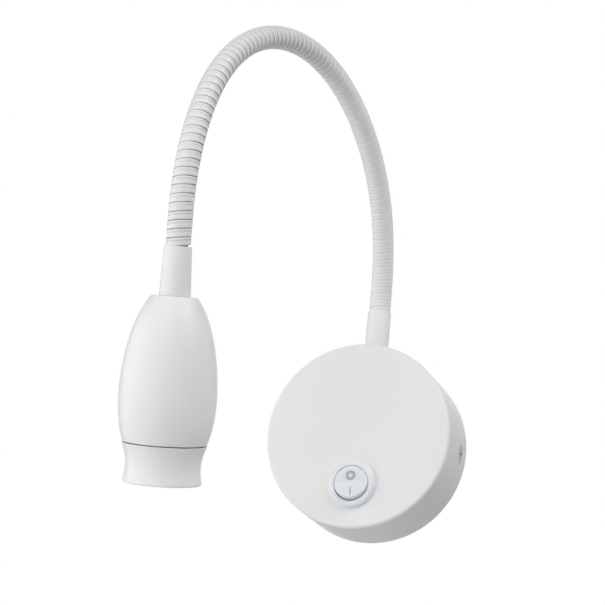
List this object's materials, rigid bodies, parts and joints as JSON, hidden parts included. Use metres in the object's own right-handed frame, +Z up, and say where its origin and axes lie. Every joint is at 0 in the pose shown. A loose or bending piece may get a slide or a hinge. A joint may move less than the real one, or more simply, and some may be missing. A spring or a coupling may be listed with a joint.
{
  "type": "wall spot lamp",
  "caption": "Wall spot lamp: round canopy with a rocker switch, a wound neck that bends and stays where it is put, and a bullet-shaped head that shines down.",
  "frame": {"origin": "centre of the canopy's back face on the wall", "axes": "+Z up along the wall, +X to the right seen from the room, +Y into the wall"},
  "size_m": [0.1077, 0.1955, 0.223],
  "materials": {
    "white_paint": "satin white powder coat",
    "white_winding": "satin white lacquered steel band",
    "inner_coil": "dark spring steel",
    "switch_plastic": "glossy white plastic",
    "zinc_plate": "zinc plated",
    "plated_screw": "nickel plated",
    "brass": "turned brass",
    "driver_case": "moulded plastic",
    "block_plastic": "moulded plastic",
    "dark_plastic": "moulded plastic",
    "lead_rubber": "smooth sheath",
    "dark_rubber": "silicone",
    "bare_aluminium": "machined",
    "board_white": "white solder mask",
    "phosphor": "phosphor gel",
    "clear_lens": "clear moulded lens"
  },
  "bodies": {
    "canopy": {"canopy_shell": "white_paint", "wall_bracket": "zinc_plate", "bracket_ears": "zinc_plate", "side_screws": "plated_screw", "earth_screw": "brass", "earth_tag": "brass", "led_driver": "driver_case", "driver_screws": "plated_screw", "terminal_block": "block_plastic", "terminal_screws": "brass", "switch_housing": "switch_plastic", "switch_pin": "plated_screw", "switch_terminals": "brass", "base_sleeve": "white_paint", "base_nipple": "brass", "base_nut": "plated_screw", "base_washer": "plated_screw", "neck_lead": "lead_rubber", "neck_core_0": "inner_coil", "neck_winding_0": "white_winding"},
    "rocker": {"switch_rocker": "switch_plastic", "switch_plunger": "dark_plastic"},
    "lever": {"contact_lever": "brass"},
    "neck_link_1": {"neck_core_1": "inner_coil", "neck_winding_1": "white_winding"},
    "neck_link_2": {"neck_core_2": "inner_coil", "neck_winding_2": "white_winding"},
    "neck_link_3": {"neck_core_3": "inner_coil", "neck_winding_3": "white_winding"},
    "neck_link_4": {"neck_core_4": "inner_coil", "neck_winding_4": "white_winding"},
    "neck_link_5": {"neck_core_5": "inner_coil", "neck_winding_5": "white_winding"},
    "neck_link_6": {"neck_core_6": "inner_coil", "neck_winding_6": "white_winding"},
    "neck_link_7": {"neck_core_7": "inner_coil", "neck_winding_7": "white_winding"},
    "neck_link_8": {"neck_core_8": "inner_coil", "neck_winding_8": "white_winding"},
    "neck_link_9": {"neck_core_9": "inner_coil", "neck_winding_9": "white_winding"},
    "neck_link_10": {"neck_core_10": "inner_coil", "neck_winding_10": "white_winding"},
    "neck_link_11": {"neck_core_11": "inner_coil", "neck_winding_11": "white_winding"},
    "head": {"neck_core_12": "inner_coil", "neck_winding_12": "white_winding", "head_sleeve": "white_paint", "head_nipple": "brass", "head_nut": "plated_screw", "head_shell": "white_paint", "heat_sink": "bare_aluminium", "led_board": "board_white", "led_chip": "phosphor", "board_screws": "plated_screw", "lens_holder": "block_plastic", "lens": "clear_lens", "lens_seal": "dark_rubber", "front_ring": "white_paint"}
  },
  "joints": [
    {"name": "neck_bend_1", "type": "hinge", "parent": "canopy", "child": "neck_link_1", "pos_m": [0.0003, -0.01529, 0.08016], "axis": [0.9969, 0.0728, -0.0312], "range_deg": [-30, 12], "deforming": ["neck_winding_1", "neck_winding_0", "neck_lead"]},
    {"name": "neck_sway_1", "type": "hinge", "parent": "neck_link_1", "child": "neck_link_2", "pos_m": [0.00111, -0.02418, 0.10501], "axis": [-0.204, -0.8648, -0.4588], "range_deg": [-25, 25], "deforming": ["neck_winding_2"]},
    {"name": "neck_bend_2", "type": "hinge", "parent": "neck_link_2", "child": "neck_link_3", "pos_m": [0.00048, -0.03944, 0.12657], "axis": [0.9522, -0.2619, -0.1575], "range_deg": [-30, 12], "deforming": ["neck_winding_3"]},
    {"name": "neck_sway_2", "type": "hinge", "parent": "neck_link_3", "child": "neck_link_4", "pos_m": [-0.00211, -0.05927, 0.14387], "axis": [-0.2593, -0.5195, -0.8142], "range_deg": [-25, 25], "deforming": ["neck_winding_4"]},
    {"name": "neck_bend_3", "type": "hinge", "parent": "neck_link_4", "child": "neck_link_5", "pos_m": [-0.00639, -0.08246, 0.15579], "axis": [0.9661, -0.236, -0.1046], "range_deg": [-30, 12], "deforming": ["neck_winding_5"]},
    {"name": "neck_sway_3", "type": "hinge", "parent": "neck_link_5", "child": "neck_link_6", "pos_m": [-0.01193, -0.10778, 0.16079], "axis": [-0.0707, -0.0275, -0.9971], "range_deg": [-25, 25], "deforming": ["neck_winding_6"]},
    {"name": "neck_bend_4", "type": "hinge", "parent": "neck_link_6", "child": "neck_link_7", "pos_m": [-0.01802, -0.13329, 0.15779], "axis": [0.9724, -0.2317, -0.0284], "range_deg": [-30, 12], "deforming": ["neck_winding_7"]},
    {"name": "neck_sway_4", "type": "hinge", "parent": "neck_link_7", "child": "neck_link_8", "pos_m": [-0.02381, -0.15653, 0.14673], "axis": [-0.1145, -0.5481, 0.8285], "range_deg": [-25, 25], "deforming": ["neck_winding_8"]},
    {"name": "neck_bend_5", "type": "hinge", "parent": "neck_link_8", "child": "neck_link_9", "pos_m": [-0.02859, -0.17497, 0.12848], "axis": [0.9776, -0.2061, -0.0416], "range_deg": [-30, 12], "deforming": ["neck_winding_9"]},
    {"name": "neck_sway_5", "type": "hinge", "parent": "neck_link_9", "child": "neck_link_10", "pos_m": [-0.03214, -0.18653, 0.10504], "axis": [-0.1251, -0.9444, 0.304], "range_deg": [-25, 25], "deforming": ["neck_winding_10"]},
    {"name": "neck_bend_6", "type": "hinge", "parent": "neck_link_10", "child": "neck_link_11", "pos_m": [-0.03467, -0.19043, 0.07905], "axis": [0.994, -0.076, -0.0787], "range_deg": [-30, 12], "deforming": ["neck_winding_11"]},
    {"name": "neck_sway_6", "type": "hinge", "parent": "neck_link_11", "child": "head", "pos_m": [-0.03663, -0.18701, 0.05292], "axis": [-0.0081, -0.9662, -0.2578], "range_deg": [-25, 25], "deforming": ["neck_winding_12"]},
    {"name": "rocker_tilt", "type": "hinge", "parent": "canopy", "child": "rocker", "pos_m": [0, -0.033, -0.024], "axis": [0.9945, 0, 0.1045], "range_deg": [0, 16]},
    {"name": "lever_tilt", "type": "hinge", "parent": "canopy", "child": "lever", "pos_m": [0, -0.0254, -0.024], "axis": [0.9945, 0, 0.1045], "range_deg": [-12, 0]}
  ],
  "couplings": [
    {"joint": "lever_tilt", "follows": "rocker_tilt", "ratio": -0.75}
  ]
}
